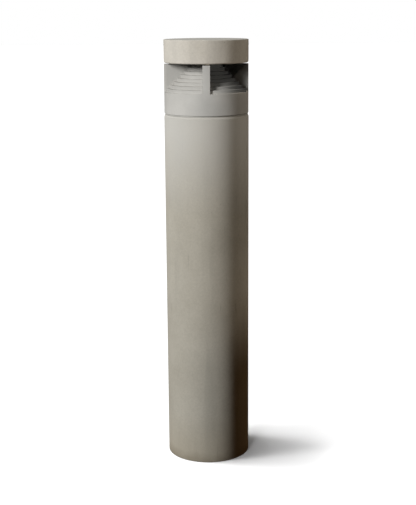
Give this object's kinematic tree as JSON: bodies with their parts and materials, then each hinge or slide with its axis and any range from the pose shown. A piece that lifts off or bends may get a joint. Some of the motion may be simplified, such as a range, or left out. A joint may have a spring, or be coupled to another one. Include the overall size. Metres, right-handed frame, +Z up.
{
  "type": "bollard light",
  "caption": "Round concrete bollard light: hollow shaft, finned metal head with a stepped cone reflector, and a thick cap that shines down on the steps.",
  "frame": {"origin": "centre of the foot, on the ground", "axes": "+Z up along the shaft; the four fins lie along X and Y, and -Y is the front"},
  "size_m": [0.2, 0.2, 1.016],
  "materials": {
    "concrete": "sealed precast concrete, matt",
    "painted_casting": "fine-textured light grey powder coat, matt",
    "galvanised_steel": "hot-dip galvanised",
    "stainless_steel": "satin",
    "bare_aluminium": "as machined",
    "black_rubber": "matt",
    "silicone": "matt",
    "nylon": "natural",
    "circuit_board": "white solder mask",
    "clear_glass": "clear, toughened",
    "driver_case": "moulded",
    "dark_plastic": "moulded",
    "cable_sheath": "matt"
  },
  "bodies": {
    "root": {"concrete_shaft": "concrete", "cap_shell": "concrete", "head_casting": "painted_casting", "stepped_reflector": "painted_casting", "base_plate": "galvanised_steel", "tie_rod_1": "galvanised_steel", "tie_rod_2": "galvanised_steel", "tie_rod_3": "galvanised_steel", "tie_rod_4": "galvanised_steel", "top_clamp_ring": "galvanised_steel", "clamp_washer_1": "galvanised_steel", "clamp_washer_2": "galvanised_steel", "clamp_washer_3": "galvanised_steel", "clamp_washer_4": "galvanised_steel", "clamp_nut_1": "galvanised_steel", "clamp_nut_2": "galvanised_steel", "clamp_nut_3": "galvanised_steel", "clamp_nut_4": "galvanised_steel", "gear_tray": "galvanised_steel", "head_bolt_1": "stainless_steel", "head_bolt_2": "stainless_steel", "head_bolt_3": "stainless_steel", "head_bolt_4": "stainless_steel", "cap_screw_1": "stainless_steel", "cap_screw_2": "stainless_steel", "cap_screw_3": "stainless_steel", "cap_screw_4": "stainless_steel", "tray_screw_1": "stainless_steel", "tray_screw_2": "stainless_steel", "earth_screw": "stainless_steel", "carrier_screw_1": "stainless_steel", "carrier_screw_2": "stainless_steel", "carrier_screw_3": "stainless_steel", "carrier_screw_4": "stainless_steel", "retainer_screw_1": "stainless_steel", "retainer_screw_2": "stainless_steel", "retainer_screw_3": "stainless_steel", "retainer_screw_4": "stainless_steel", "led_carrier": "bare_aluminium", "glass_retainer": "bare_aluminium", "inlet_grommet": "black_rubber", "head_gasket": "silicone", "hub_seal": "silicone", "glass_gasket": "silicone", "cap_spacer_1": "nylon", "cap_spacer_2": "nylon", "cap_spacer_3": "nylon", "cap_spacer_4": "nylon", "cable_clamp": "nylon", "led_board": "circuit_board", "cover_glass": "clear_glass", "led_driver": "driver_case", "terminal_block": "dark_plastic", "fuse_holder": "dark_plastic", "lead_socket": "dark_plastic", "lead_plug": "dark_plastic", "mains_link_lead": "cable_sheath", "driver_lead": "cable_sheath", "led_lead": "cable_sheath"}
  },
  "joints": []
}
